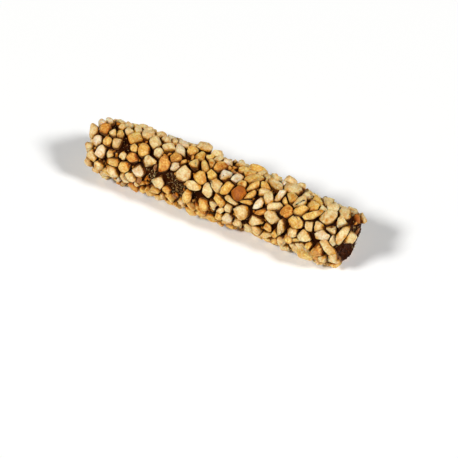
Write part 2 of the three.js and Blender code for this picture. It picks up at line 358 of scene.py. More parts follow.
# Where the topping is thicker or thinner than elsewhere: along, turn round the stick, radius and
# height. Nuts move by the whole height and the chocolate by a share of it.
swells = [
    (-37, -45, 9, -0.9),
    (-43, 22, 4, 0.5),
    (-42, 114, 4, 0.9),
    (-36, 122, 5, -1),
    (-22, 112, 4, -0.5),
    (-8.5, -50, 6, 1.3),
    (-3.5, -52, 4.5, -1.3),
    (15.5, -50, 4, -0.9),
    (26, -50, 5, -0.8),
    (33, -48, 12, -1.9),
    (42, -35, 6, -1.8),
    (8, 122, 4, -0.6),
    (11, 131, 6, -1.2),
    (42, 120, 7, -2.6),
]


def swellAt(places):
    # the swells added up: each is its height at its middle and falls to 0 at its radius, by
    # 1 - (3t^2 - 2t^3)
    along, turn, radius, height = np.array(swells, float).T
    centres = spots(along, turn, stick["radius"] + 0 * along, nuts["lift"])
    distance = np.linalg.norm(places[:, None] - centres[None], axis=-1)
    return (height * smoothStep(1, 0, distance / radius)).sum(1)


topping = dict(
    fallen=(28, 49, 105, 114, 140, 200, 277, 293, 314, 330, 335),   # loose nuts that came off again
    closer=0.14,             # nuts are wider by this share near the +X end
    closerFrom=(16, 30),     # from none to all of it, along
    height=(-0.45, 0.25),    # of the loose nuts, over or under the usual
)
stays = ~np.isin(k, topping["fallen"])
k, middle, lengthways, sideways, out, half = [
    part[stays] for part in (k, middle, lengthways, sideways, out, half)]
isPlaced = k >= nuts["loose"]
half[:, :2] *= 1 + topping["closer"] * smoothStep(*topping["closerFrom"], middle[:, :1])
heights = np.where(isPlaced, 0, between(topping["height"], chance(k, 96)))
middle += out * (swellAt(middle) + heights)[:, None]
print("nuts that stay:", len(k))


def ballGrid(cells):
    # the six square faces of a cube, each cells by cells, pushed out to the unit ball: the tangent
    # of even angles keeps the squares even; corners are (square, corner) places on their own face
    steps = np.tan(np.linspace(-1, 1, cells + 1) * np.pi / 4)
    u, v = [g.ravel() for g in np.meshgrid(steps, steps, indexing="ij")]
    faces = []
    for axis in range(3):
        for side in (1, -1):
            face = np.zeros((len(u), 3))
            face[:, axis] = side
            face[:, (axis + 1) % 3] = side * u
            face[:, (axis + 2) % 3] = v
            faces.append(face)
    i, j = [g.ravel() for g in np.meshgrid(range(cells), range(cells), indexing="ij")]
    square = np.stack([i, i + 1, i + 1, i], -1), np.stack([j, j, j + 1, j + 1], -1)
    onFace = square[0] * (cells + 1) + square[1]
    quads = np.concatenate([onFace + f * len(u) for f in range(6)])
    corners = np.concatenate([np.stack(square, -1) / cells] * 6)
    ways = unit(np.concatenate(faces))
    _, first, same = np.unique(ways.round(6), axis=0, return_index=True, return_inverse=True)
    return ways[first], same.ravel()[quads], corners


def atlas(count, cells, corners):
    # the bake map: each body has a cell of 3 by 2 squares, one for each face of its cube
    columns = int(np.ceil(np.sqrt(count * 2 / 3)))
    rows = int(np.ceil(count / columns))
    face = np.repeat(np.arange(6), cells * cells)
    inFace = 0.05 + 0.9 * corners   # with a margin inside each square
    inCell = (inFace + np.stack([face % 3, face // 3], -1)[:, None]) / (3, 2)
    body = np.arange(count)
    start = np.stack([body % columns, body // columns], -1)[:, None, None]
    return ((start + inCell[None]) / (columns, rows)).reshape(-1, 2)


def newObject(name, data):
    # an object in the scene
    thing = bpy.data.objects.new(name, data)
    bpy.context.collection.objects.link(thing)
    return thing


def makePiece(name, points, faces, uv, slot, material, smooth=True, crease=0, **values):
    # a mesh of points in millimetres that rides with the solid and stands for it; values are
    # numbers for each point that the material reads
    mesh = bpy.data.meshes.new(name)
    mesh.from_pydata((points * mm).tolist(), [], faces)
    mesh.uv_layers.new(name="OFBake").data.foreach_set("uv", uv.ravel())
    for label, numbers in values.items():
        attribute = mesh.attributes.new(label, "FLOAT", "POINT")
        attribute.data.foreach_set("value", numbers.ravel().astype(np.float32))
    mesh.polygons.foreach_set("use_smooth", [smooth] * len(faces))
    if crease:
        mesh.set_sharp_from_angle(angle=np.radians(crease))
    mesh.materials.append(material)
    mesh.update()
    piece = newObject(name, mesh)
    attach(piece, "root")
    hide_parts("coated_roll")


def linear(hexColour):
    # an sRGB hex colour in linear light: c / 12.92 up to 0.04045, and ((c + 0.055) / 1.055)^2.4 above
    parts = [int(hexColour[i:i + 2], 16) / 255 for i in (1, 3, 5)]
    return tuple(p / 12.92 if p <= 0.04045 else ((p + 0.055) / 1.055) ** 2.4 for p in parts) + (1.0,)


def setSockets(tree, node, sockets):
    # each socket gets a number or a colour, or a link from what feeds it
    for name, value in sockets.items():
        if isinstance(value, bpy.types.NodeSocket):
            tree.links.new(value, node.inputs[name])
        else:
            node.inputs[name].default_value = value


def addNode(tree, kind, output, sockets=None, **settings):
    # one node with its settings and what goes into it, and the output that is asked for
    node = tree.nodes.new("ShaderNode" + kind)
    for name, value in settings.items():
        setattr(node, name, value)
    setSockets(tree, node, sockets or {})
    return node.outputs[output]


def newFinish(name):
    # a new material, its node tree and its shader
    material = bpy.data.materials.new(name)
    material.use_nodes = True
    return material, material.node_tree, material.node_tree.nodes["Principled BSDF"]


def setSurface(tree, shader, colour, made, look):
    # the colour, and what the shader takes from a look and its patterns: gloss is the roughness and
    # grain is fine relief
    setSockets(tree, shader, {
        "Base Color": colour,
        "Roughness": made["gloss"],
        "Normal": addNode(tree, "Bump", 0, {
            "Height": made["grain"], "Strength": look["grainStrength"],
            "Distance": look["grainDepth"] * mm}),
        "IOR": look["ior"],
        "Specular IOR Level": look["shine"],
    })


def addPatterns(tree, patterns):
    # noise through the piece whose lumps are about as many millimetres across as a row's first
    # number, with its detail and roughness; and where a row goes on, the noise between its next two
    # numbers is spread over the last two
    place = addNode(tree, "TexCoord", "Object")
    made = {}
    for name, (size, detail, roughness, *ends) in patterns.items():
        made[name] = addNode(tree, "TexNoise", "Fac", {
            "Vector": place, "Scale": 1 / (size * mm), "Detail": detail, "Roughness": roughness})
        if ends:
            sockets = zip(("Value", "From Min", "From Max", "To Min", "To Max"), (made[name], *ends))
            made[name] = addNode(tree, "MapRange", "Result", dict(sockets))
    return made


# Dark couverture, poured over and left to set with nut dust in it: nearly black, with a satin
# gloss that the grain breaks into small glints.
couverture = dict(
    colour="#2c0f01",
    dusty="#5c2a04",       # where crumbs lie just under the surface
    patterns=dict(         # the real grain is finer, and is as coarse here as it needs to show
        dust=(0.7, 4, 0.65, 0.52, 0.68, 0, 1),
        gloss=(0.5, 3, 0.6, 0.35, 0.65, 0.28, 0.6),
        grain=(0.28, 3, 0.6),
    ),
    grainDepth=0.05,
    grainStrength=0.6,
    ior=1.36,
    shine=0.04,
)


def couvertureFinish():
    # the colour goes to dusty where the dust pattern meets bare chocolate
    material, tree, shader = newFinish("darkCouverture")
    made = addPatterns(tree, couverture["patterns"])
    bare = addNode(tree, "Attribute", "Fac", attribute_name="bare")
    dusty = addNode(tree, "Math", 0, {0: made["dust"], 1: bare}, operation="MULTIPLY", use_clamp=True)
    sockets = {0: dusty, 6: linear(couverture["colour"]), 7: linear(couverture["dusty"])}
    colour = addNode(tree, "Mix", 2, sockets, data_type="RGBA")
    setSurface(tree, shader, colour, made, couverture)
    return material


# Hazelnut and almond kernels, dry roasted and chopped: cut faces are matte and cream with a faint
# grain, the rounded outside is browned, edges between cuts are darker, low sides get painted shade,
# and oil gives a weak satin sheen.
kernels = dict(            # from blanched almond to dark roasted hazelnut
    white=dict(slot="nut_pale", cut="#ede1c6", cutDeep="#e0cea5", brownedAndShaded="#cc9640"),
    pale=dict(slot="nut_pale", cut="#e9daaa", cutDeep="#dcbf81", brownedAndShaded="#c5841a"),
    golden=dict(slot="nut_golden", cut="#ebd38a", cutDeep="#ddaf50", brownedAndShaded="#bd6f06"),
    toasted=dict(slot="nut_toasted", cut="#e6b860", cutDeep="#cc842d", brownedAndShaded="#a04c02"),
    roasted=dict(slot="nut_toasted", cut="#bd6f1a", cutDeep="#ab5a0e", brownedAndShaded="#7f3a04"),
)
crumbLook = dict(cut="#f0cd8c", cutDeep="#a2682a", brownedAndShaded="#6a3a12")
skinLook = dict(cut="#c08a56", cutDeep="#9c6232", brownedAndShaded="#6e3a18")
flesh = dict(              # how every kernel's surface is
    patterns=dict(
        fleck=(0.5, 3, 0.6, 0.35, 0.65, -0.9, 0.9),      # paler and deeper flecks in the flesh
        mottle=(1.3, 3, 0.6, 0.47, 0.72, 0, 0.65),       # patches of deeper roast
        smearLine=(0.6, 2, 0.5, 0.3, 0.7, 0, 0.55),      # chocolate creeps up the sides this far
        gloss=(0.6, 3, 0.5, 0.3, 0.7, 0.4, 0.62),
        grain=(0.7, 3, 0.6),
    ),
    grainDepth=0.16,
    grainStrength=0.7,
    edgeShare=0.45,             # how far edges between cuts are darkened
    outsideShare=0.4,
    paintedShadeHeights=(0.4, 1.15),   # painted shade on the low sides: darker from the first height down, as cut at the second
    paintedShadeShare=0.85,
    smearFade=0.35,             # height over which the chocolate thins out
    ior=1.47,
    shine=0.13,
    glow=0.6,                   # share of the light that passes under the surface
    glowReach=(1, 0.6, 0.3),    # how far, in mm for red, green and blue
    flour=0.3,                  # fine nut flour that lightens what is seen at a slant
    flourColour="#ffcc80",
    flourRoughness=0.5,
)


def kernelFinish(kind, look):
    # the flesh goes from cut to cutDeep by the nut's own tone and its flecks; then to brownedAndShaded
    # by the edges, the rounded outside, the low sides as painted shade and the mottle added up; and low
    # down to chocolate
    material, tree, shader = newFinish(kind + "Kernel")
    made = addPatterns(tree, flesh["patterns"])
    for name in ("tone", "edge", "outside", "rise"):
        made[name] = addNode(tree, "Attribute", "Fac", attribute_name=name)
    low, high = flesh["paintedShadeHeights"]
    # painted shade: the low sides of each nut darken, by their height
    made["side"] = addNode(tree, "MapRange", "Result", {
        "Value": made["rise"], "From Min": low, "From Max": high,
        "To Min": flesh["paintedShadeShare"], "To Max": 0})
    for name, operation, first, second in (
            ("tone", "ADD", "tone", "fleck"),
            ("edge", "MULTIPLY", "edge", flesh["edgeShare"]),
            ("outside", "MULTIPLY", "outside", flesh["outsideShare"]),
            ("brownedAndShaded", "ADD", "edge", "outside"),
            ("brownedAndShaded", "ADD", "brownedAndShaded", "side"),
            ("brownedAndShaded", "ADD", "brownedAndShaded", "mottle"),
            ("overSmear", "SUBTRACT", "rise", "smearLine")):
        made[name] = addNode(tree, "Math", 0, {0: made[first], 1: made.get(second, second)},
                             operation=operation, use_clamp=True)
    made["smear"] = addNode(tree, "MapRange", "Result", {
        "Value": made["overSmear"], "From Min": flesh["smearFade"], "From Max": 0})
    colour = linear(look["cut"])
    for share, deeper in (
            ("tone", look["cutDeep"]), ("brownedAndShaded", look["brownedAndShaded"]), ("smear", couverture["dusty"])):
        sockets = {0: made[share], 6: colour, 7: linear(deeper)}
        colour = addNode(tree, "Mix", 2, sockets, data_type="RGBA")
    setSurface(tree, shader, colour, made, flesh)
    setSockets(tree, shader, {
        "Subsurface Weight": flesh["glow"],
        "Subsurface Radius": flesh["glowReach"],
        "Subsurface Scale": mm,
        "Sheen Weight": flesh["flour"],
        "Sheen Roughness": flesh["flourRoughness"],
        "Sheen Tint": linear(flesh["flourColour"]),
    })
    return material


chopped = dict(
    cells=4,                # squares along a side of the cube that each nut is made from
    roundness=1.22,         # the ball that the cuts are made in, over the half sizes
    sharpness=(50, 120),    # power of the blend between cuts: higher is a sharper edge
    gap=(-0.02, 0.55),      # left between neighbours, by chance for each pair
    near=8,                 # neighbours' middles are at most this far apart
    mostNeighbours=9,
    leastCut=0.5,
    liftedOver=1,           # nuts that ride on others aren't cut by them
    lean=(12, 24),          # most that a placed and a loose nut lies askew, in degrees
    topTilt=26,
    topDepth=(0.78, 1.02),
    bevels=2,
    bevelTilt=(30, 60),
    bevelDepth=(0.84, 1.08),
    sideTilt=(-16, 24),
    sideTurn=12,
    bottomDepth=0.8,
    drawRounds=2,           # the mesh is drawn towards the edges between cuts
    drawPower=14,
    drawStep=0.35,
    uneven=0.055,           # height of the waves all over, in the ball
    waveLengths=(1.5, 0.8),
    bites=2,                # hollows in the sides, as depths in the ball
    biteTilt=(-10, 25),
    biteDepth=(-0.1, 0.42),
    biteWidth=0.09,         # one less the cosine of the angle at which a bite has mostly ended
    crease=18,              # degrees between faces from which an edge is sharp
    ownTone=0.55,           # share of a nut's tone that is the same all over it
)
# Outlines seen from above: number of sides, turn of the first in sides, how unevenly they turn,
# their depth in the ball, and the share of the loose nuts.
outlines = dict(
    wedge=(3, 0.5, 0.4, 0.6, 0.7, 0.2),
    block=(4, 0, 0.35, 0.8, 0.95, 0.34),
    chunk=(5, 0.5, 0.6, 0.84, 1.0, 0.28),
    lump=(6, 0.5, 0.7, 0.9, 1.02, 0.18),
    bean=(9, 0.5, 0.3, 0.98, 1.04, 0),
)
mostSides = max(row[0] for row in outlines.values())


def outlinesOf(k, named=()):
    # by chance in the shares above, and the last ones as named
    shapes = drawn({shape: row[-1] for shape, row in outlines.items()}, chance(k, 98))
    if len(named):
        shapes[-len(named):] = named
    return np.array([outlines[shape][:-1] for shape in shapes]).T


def tiltedWays(tilt, turn):
    # unit ways in a nut's own axes: tilted up from its lengthways and sideways axes, and turned from
    # the first towards the second
    return np.stack([np.cos(tilt) * np.cos(turn), np.cos(tilt) * np.sin(turn), np.sin(tilt)], -1)


def ownCuts(k, sides, first, scatter, near, far):
    # a nearly flat top, bevels beside it, sides all round and a flat bottom, as unit normals and
    # depths in the ball
    top = 90 - chopped["topTilt"] * chance(k, 50)
    cuts = [(top, 360 * chance(k, 51), between(chopped["topDepth"], chance(k, 52)))]
    for j in range(chopped["bevels"]):
        tilt = 90 - between(chopped["bevelTilt"], chance(k, 53 + j))
        cuts.append((tilt, 360 * chance(k, 56 + j), between(chopped["bevelDepth"], chance(k, 59 + j))))
    for j in range(mostSides):
        turn = 360 * ((j + first + scatter * (chance(k, 160 + j) - 0.5)) / sides)
        turn += chopped["sideTurn"] * chance(k, 69)
        tilt = between(chopped["sideTilt"], chance(k, 170 + j))
        depth = between((near, far), chance(k, 180 + j))
        cuts.append((tilt, turn, np.where(j < sides, depth, beyond)))
    cuts.append(np.tile([[-90], [0], [chopped["bottomDepth"]]], len(k)))
    tilt, turn, depth = np.array(cuts).transpose(1, 2, 0)
    return tiltedWays(np.radians(tilt), np.radians(turn)), depth


def neighbourCuts(middle, axes, half, lifted):
    # where two nuts nearly touch, a cut for each: halfway along the line of their middles, square to
    # the mean of both ellipsoids' outward ways there, and moved back by half the gap
    count = len(middle)
    distance = np.linalg.norm(middle[None] - middle[:, None], axis=-1)
    i, j = np.nonzero((distance > 0) & (distance < chopped["near"]) & ~lifted[:, None] & ~lifted[None])
    way = unit(middle[j] - middle[i])

    def local(n, vectors):
        # the vectors' parts along the nuts' own axes
        return np.einsum("pac,pc->pa", axes[n], vectors)

    def outward(n, vectors):
        # square to the ellipsoids where the vectors from their middles end
        return unit(np.einsum("pa,pac->pc", local(n, vectors) / half[n] ** 2, axes[n]))

    reachI, reachJ = [1 / np.linalg.norm(local(n, way) / half[n], axis=-1) for n in (i, j)]
    line = way * distance[i, j][:, None]
    share = (reachI / (reachI + reachJ))[:, None]
    fromI = line * share
    normal = unit(outward(i, fromI) - outward(j, line * (share - 1)))
    inBall = local(i, normal) * half[i]
    support = np.linalg.norm(inBall, axis=-1)
    depth = ((normal * fromI).sum(-1) - between(chopped["gap"], chance(i + j, 94)) / 2) / support
    order = np.lexsort((depth, i))
    order = order[depth[order] < chopped["roundness"]]
    i, inBall, support, depth = i[order], inBall[order], support[order], depth[order]
    rank = np.arange(len(i)) - np.searchsorted(i, i)   # a nut's deepest cuts come first
    ways = np.zeros((count, chopped["mostNeighbours"], 3))
    ways[..., 0] = 1
    depths = np.full(ways.shape[:2], beyond)
    kept = rank < chopped["mostNeighbours"]
    ways[i[kept], rank[kept]] = (inBall / support[:, None])[kept]
    depths[i[kept], rank[kept]] = np.maximum(depth, chopped["leastCut"])[kept]
    return ways, depths


def drawnToEdges(grid, ways, depths):
    # a grid direction d meets each cut w by the share t = (d.w/depth)^power; d moves by a step along
    # d less the sum of t.w/(d.w) over the sum of t, which is away from the middle of its own facet
    directions = np.repeat(grid[None], len(ways), 0)
    for _ in range(chopped["drawRounds"]):
        facing = np.maximum(np.einsum("nkc,nvc->nvk", ways, directions), 1e-3)
        terms = (facing / depths[:, None]) ** chopped["drawPower"]
        total = terms.sum(-1, keepdims=True) + chopped["roundness"] ** -chopped["drawPower"]
        mean = np.einsum("nvk,nkc->nvc", terms / facing, ways) / total
        step = mean - directions * dots(mean, directions)
        directions = unit(directions - chopped["drawStep"] * step)
    return directions


def choppedBodies(k, middle, axes, half, ways, depths, cells, uneven):
    # each way w from a nut's middle reaches (sum of max(0, cut.w/depth)^p + roundness^-p)^(-1/p) in
    # its ball, less depth.exp((cos a - 1)/width) at an angle a from a bite, and then the ball is
    # scaled to the half sizes along the nut's own axes
    grid, quads, corners = ballGrid(cells)
    power = between(chopped["sharpness"], chance(k, 90))[:, None, None]
    grid = drawnToEdges(grid, ways, depths)
    facing = np.maximum(np.einsum("nkc,nvc->nvk", ways, grid), 0) / depths[:, None]
    ball = np.full(facing.shape[:2] + (1,), 1 / chopped["roundness"])
    terms = np.concatenate([facing, ball], -1) ** power
    total = terms.sum(-1)
    reach = total ** (-1 / power[..., 0])
    apart = grid + k[:, None, None] * 3.7   # each nut in its own part of the waves
    coarse, fine = chopped["waveLengths"]
    reach *= 1 + uneven * waves(apart, coarse, 3) + 0.5 * uneven * waves(apart, fine, 4)
    for j in range(chopped["bites"]):
        tilt = np.radians(between(chopped["biteTilt"], chance(k, 195 + j)))
        way = tiltedWays(tilt, 2 * np.pi * chance(k, 191 + j))
        depth = between(chopped["biteDepth"], chance(k, 199 + j))
        away = 1 - np.einsum("nc,nvc->nv", way, grid)
        reach *= 1 - depth[:, None] * np.exp(-away / chopped["biteWidth"])
    inBall = grid * reach[..., None] * half[:, None]
    points = middle[:, None] + np.einsum("nva,nac->nvc", inBall, axes)
    # what the finish reads: how near an edge, how much of the ball shows, a tone for each nut and
    # cut, and the height over the nut's middle
    edge = np.clip(2 * (1 - terms.max(-1) / total), 0, 1)
    outside = terms[..., -1] / total
    cutTones = chance(k[:, None], 100 + np.arange(terms.shape[-1])[None])
    tone = (terms * cutTones[:, None]).sum(-1) / total
    tone = chopped["ownTone"] * chance(k, 95)[:, None] + (1 - chopped["ownTone"]) * tone
    rise = ((points - middle[:, None]) * wayOut(middle)[1][:, None]).sum(-1)
    starts = np.arange(len(k)) * grid.shape[1]
    allQuads = (quads[None] + starts[:, None, None]).reshape(-1, 4).tolist()
    uv = atlas(len(k), cells, corners)
    return points, allQuads, uv, dict(edge=edge, outside=outside, tone=tone, rise=rise)


def standing(points):
    # into the solid's place, and flat where it rests on the table
    points = points.reshape(-1, 3) + shift
    points[:, 2] = np.maximum(points[:, 2], 0)
    return points


kindShares = dict(white=0.08, pale=0.57, golden=0.25, toasted=0.10)
backPalerPaintedLight = dict(way=(0, 0.71, 0.71), ends=(0.5, 0.9), share=0.45)   # more of the first, paler kinds there: partly the nuts' own mix, partly painted light on the back
# Loose nuts whose kind isn't left to chance, by number.
chosenKinds = dict(
    white=(54, 61, 123, 205, 272, 305),
    pale=(42, 46, 58, 84, 91, 96, 100, 107, 116, 128, 137, 142, 147, 149, 156, 186, 209, 214,
          233, 256, 258, 275, 286, 291, 307, 337, 347, 349),
    golden=(14, 19, 21, 40, 47, 56, 77, 93, 109, 112, 121, 126, 135, 179, 184, 191, 195, 198,
            219, 228, 240, 251, 265, 268, 270, 279, 284, 300, 309, 316, 321, 326),
    toasted=(163, 244),
)


def kindsOf():
    # the placed nuts' own kinds, and the loose ones' by chance in the shares above: the chance is
    # made smaller along the back, so paler kinds lie there, partly as painted light
    paler = 1 - backPalerPaintedLight["share"] * smoothStep(*backPalerPaintedLight["ends"], out @ backPalerPaintedLight["way"])
    kinds = drawn(kindShares, paler * chance(k, 99))
    for kind, numbers in chosenKinds.items():
        kinds[np.isin(k, numbers)] = kind
    kinds[isPlaced] = [row[5] for row in placedNuts]
    return kinds


def leaning(axes):
    # each nut turned about a line along the surface, through an angle of its own
    turn = chance(k, 92) * 2 * np.pi
    about = axes[:, 0] * np.cos(turn)[:, None] + axes[:, 1] * np.sin(turn)[:, None]
    most = np.where(isPlaced, *np.radians(chopped["lean"]))
    angle = most * chance(k, 93)
    return np.stack([turnedAbout(axes[:, n], about, angle) for n in range(3)], 1)


# Painted light: nuts at the -X end and along the back and front-bottom edges get less of the
# painted low-side shade and of the smear, so they look lighter; the way, the range of its cosine,
# and how much.
paintedLightWays = [
    ((-1, 0, 0), (0.5, 0.9), 1),
    ((0, 0.71, 0.71), (0.4, 0.95), 0.28),
    ((0, -0.71, -0.71), (0.5, 0.95), 0.2),
]
sunkIn = 0.45   # taken from every nut's height
flatAxes = np.stack([lengthways, sideways, out], 1)
axes = leaning(flatAxes)
liftOf = np.full(len(k), nuts["lift"])
liftOf[isPlaced] = placedLift
ownWays, ownDepths = ownCuts(k, *outlinesOf(k, [row[6] for row in placedNuts]))
sharedWays, sharedDepths = neighbourCuts(middle, axes, half, liftOf > chopped["liftedOver"])
allWays = np.concatenate([ownWays, sharedWays], 1)
allDepths = np.concatenate([ownDepths, sharedDepths], 1)
kinds = kindsOf()
for kind, look in kernels.items():
    these = kinds == kind
    points, quads, uv, values = choppedBodies(
        k[these], middle[these], axes[these], half[these], allWays[these], allDepths[these],
        chopped["cells"], chopped["uneven"])
    # painted light: a higher rise where these ways point, so less painted shade and smear
    paintedLight = sum(height * smoothStep(*ends, out[these] @ way) for way, ends, height in paintedLightWays)
    values["rise"] += (liftOf[these] - sunkIn + paintedLight)[:, None]
    makePiece(kind + "Nuts", standing(points), quads, uv, look["slot"], kernelFinish(kind, look),
              crease=chopped["crease"], **values)
    print(kind, "nuts:", these.sum(), "faces:", len(quads))


coat = dict(
    alongSteps=340,
    roundSteps=200,
    lumps=(7, 0.16, 5, 28),       # length and height of the unevenness, its seed and number of waves
    ripples=(1.7, 0.08, 6, 28),
    crust=(0.8, 0.13, 7, 40),     # only where it is bare
    bareFrom=(0.25, 1),           # from the rim of a nut
    swell=0.55,                   # share of the swells that it follows
    sunk=0.3,
    endSunk=0.5,                  # further at the +X end
    endFrom=(0.3, 0.9),           # from none to all of it, by how far it faces +X
    creep=0.25,                   # rises against the nuts
    creepFrom=(0.8, -0.1),        # from this far off a nut's rim to just under it
)


def coatRise(points):
    # how far the chocolate swells from the plain stick, less what it draws back at the +X end
    drawnBack = smoothStep(*coat["endFrom"], wayOut(points)[1][:, 0])
    return coat["swell"] * swellAt(points) - coat["endSunk"] * drawnBack


def gapToNuts(points):
    # from each point to the rim of the nearest nut, below 0 under a nut: how far the point is
    # from the nut's middle, times one less the ellipse's reach that way over it
    mostAlong, mostDeep = 5, 3   # a nut further off than this doesn't count
    gap = np.full(len(points), beyond)
    for i in range(len(k)):
        near = np.flatnonzero(np.abs(points[:, 0] - middle[i, 0]) < mostAlong)
        local = (points[near] - middle[i]) @ flatAxes[i].T
        far = np.hypot(local[:, 0], local[:, 1])
        scaled = np.maximum(np.hypot(local[:, 0] / half[i, 0], local[:, 1] / half[i, 1]), 1e-6)
        own = np.where(np.abs(local[:, 2]) < mostDeep, far * (1 - 1 / scaled), beyond)
        gap[near] = np.minimum(gap[near], own)
    return gap


def coatProfile(steps):
    # from the middle of the -X end along it, round the rim by angle a, along the side, round the
    # other rim by angle b and to the middle of the +X end, at even steps of length s: x and distance
    # from the axis
    rim, flat, side = stick["rim"], stick["radius"] - stick["rim"], stick["length"] - 2 * stick["rim"]
    marks = np.cumsum([0, flat, rim * np.pi / 2, side, rim * np.pi / 2, flat])
    s = np.linspace(0, marks[-1], steps + 1)
    a, b = [np.clip((s - marks[n]) / rim, 0, np.pi / 2) for n in (1, 3)]
    x = -stick["length"] / 2 + rim * (1 - np.cos(a)) + np.clip(s - marks[2], 0, side) + rim * np.sin(b)
    r = np.minimum(s, flat) + rim * np.sin(a) - rim * (1 - np.cos(b)) - np.maximum(s - marks[4], 0)
    return x, r


def chocolateCoat():
    # the stick's profile turned round its axis, then moved out by three sets of waves, by what
    # creeps up the nuts and by the swells; and its faces, their bake map and how bare each point is
    x, r = coatProfile(coat["alongSteps"])
    turns, rowCount = coat["roundSteps"], len(x) - 2
    rows = ringOf(np.arange(turns) / turns * 2 * np.pi)[None] * r[1:-1, None, None]
    rows[..., 0] = x[1:-1, None]
    points = np.concatenate([[[x[0], 0, 0]], rows.reshape(-1, 3), [[x[-1], 0, 0]]])
    gap = gapToNuts(points)
    bare = smoothStep(*coat["bareFrom"], gap)
    move = coat["creep"] * smoothStep(*coat["creepFrom"], gap) - coat["sunk"] + coatRise(points)
    for (length, height, seed, count), share in (
            (coat["lumps"], 1), (coat["ripples"], 1), (coat["crust"], bare)):
        move += waves(points, length, seed, count) * height * share
    points = points + wayOut(points)[1] * move[:, None]

    i, j = [g.ravel() for g in np.meshgrid(range(rowCount - 1), range(turns), indexing="ij")]
    acrossRows, roundTurns = np.stack([i, i, i + 1, i + 1], -1), np.stack([j, j + 1, j + 1, j], -1)
    quads = 1 + acrossRows * turns + roundTurns % turns
    quadMap = np.stack([(acrossRows + 1) / (rowCount + 1), roundTurns / turns], -1)
    faces, uv = quads.tolist(), [quadMap.reshape(-1, 2)]
    # a fan of triangles at each end, from its middle to the ring beside it
    j = np.arange(turns)
    isRing = np.array([0, 1, 1])
    for pole, ringStart, across, order in (
            (0, 1, isRing, (0, 1, 0)),
            (len(points) - 1, 1 + (rowCount - 1) * turns, rowCount + 1 - isRing, (0, 0, 1))):
        turned = j[:, None] + order
        faces += np.where(isRing, ringStart + turned % turns, pole).tolist()
        fanMap = np.stack([across / (rowCount + 1) + 0 * turned, (turned + [0.5, 0, 0]) / turns], -1)
        uv.append(fanMap.reshape(-1, 2))
    return points, faces, np.concatenate(uv), bare


points, faces, uv, bare = chocolateCoat()
makePiece("chocolateCoat", standing(points), faces, uv, "chocolate", couvertureFinish(), bare=bare)
print("chocolate faces:", len(faces))


def scatteredPlaces(tries, seed, lift):
    # even chances over the side and both ends, at the height lift over the uneven chocolate
    rng = np.random.default_rng(seed)
    angle = rng.uniform(0, 2 * np.pi, tries)
    onSide = ringOf(angle) * stick["radius"] * 2
    onSide[:, 0] = rng.uniform(-0.5, 0.5, tries) * stick["strewn"]
    onEnd = ringOf(angle) * stick["radius"] * np.sqrt(rng.uniform(0, 1, (tries, 1)))
    onEnd[:, 0] = np.sign(angle - np.pi) * (stick["length"] / 2 + stick["rim"])
    isEnd = rng.uniform(0, 1, tries) < stick["radius"] / (stick["radius"] + 2 * stick["length"])
    return seated(placeOver(np.where(isEnd[:, None], onEnd, onSide), lift), lift)


def seated(places, lift):
    # at the height lift over the chocolate where it swells or draws back
    return placeOver(places, lift + coatRise(places))


def shareNear(points, rows, lift=0):
    # 1 within the radius of any of the places in the rows, and 0 beyond a quarter more
    centres, radius = placesOf(rows, lift)
    distance = np.linalg.norm(points[:, None] - centres[None], axis=-1)
    return smoothStep(1.25, 1, distance / radius).max(1)


smallShape = dict(
    tipped=0.25,                                      # from the way out, as a share of it
    halves=((0.85, 1.25), (0.55, 0.9), (0.5, 0.85)),  # half sizes, over half the length
)


def looseBodies(places, size, seed):
    # axes and half sizes for small bodies: longer one way than the other, tipped a little from the
    # way out and laid at random turns
    rng = np.random.default_rng(seed)
    away = wayOut(places)[1]
    tilted = unit(away + rng.normal(size=away.shape) * smallShape["tipped"])
    along = flattened(rng.normal(size=away.shape), tilted)
    shares = np.stack([rng.uniform(*ends, len(size)) for ends in smallShape["halves"]], -1)
    return np.stack([along, np.cross(tilted, along), tilted], 1), size[:, None] * shares


def makeSmall(name, slot, finish, look, places, size, smooth=True):
    # a piece of small chopped bodies, numbered and shaped as its dictionary says
    axes, half = looseBodies(places, size, look["bodySeed"])
    if "thickness" in look:
        half[:, 2] = look["thickness"]
    number = look["firstNumber"] + np.arange(len(places))
    ways, depths = ownCuts(number, *outlinesOf(number))
    points, quads, uv, values = choppedBodies(
        number, places, axes, half, ways, depths, look["cells"], look["uneven"])
    riseShare, raised = look["rise"]
    values["rise"] = values["rise"] * riseShare + raised
    makePiece(name, standing(points), quads, uv, slot, finish, smooth=smooth, **values)
    print(name + ":", len(places), "faces:", len(quads))


chips = dict(
    tries=14000,
    most=300,
    size=(0.35, 1.05),     # half the length
    sizePower=1.6,         # of the chance that a size is drawn by: higher gives more small ones
    room=-0.05,            # kept from the nuts beyond half a chip
    apart=0.8,             # between chips, over their sizes added
    endFree=0.6,           # none from this far before the +X end
    lift=0.25,
    rise=(1, 0.3),         # share of their own heights and what is added: higher is less painted low-side shade and smear
    cells=3,
    uneven=0.05,
    placeSeed=11,
    bodySeed=12,
    firstNumber=1000,
)
# More places where no chips lie: along, turn round the stick and radius.
chipFree = [(-31.8, 33, 2.3), (-19.8, 58, 2.8), (-12.2, 70, 2.8), (-3.4, 70, 2.2)]


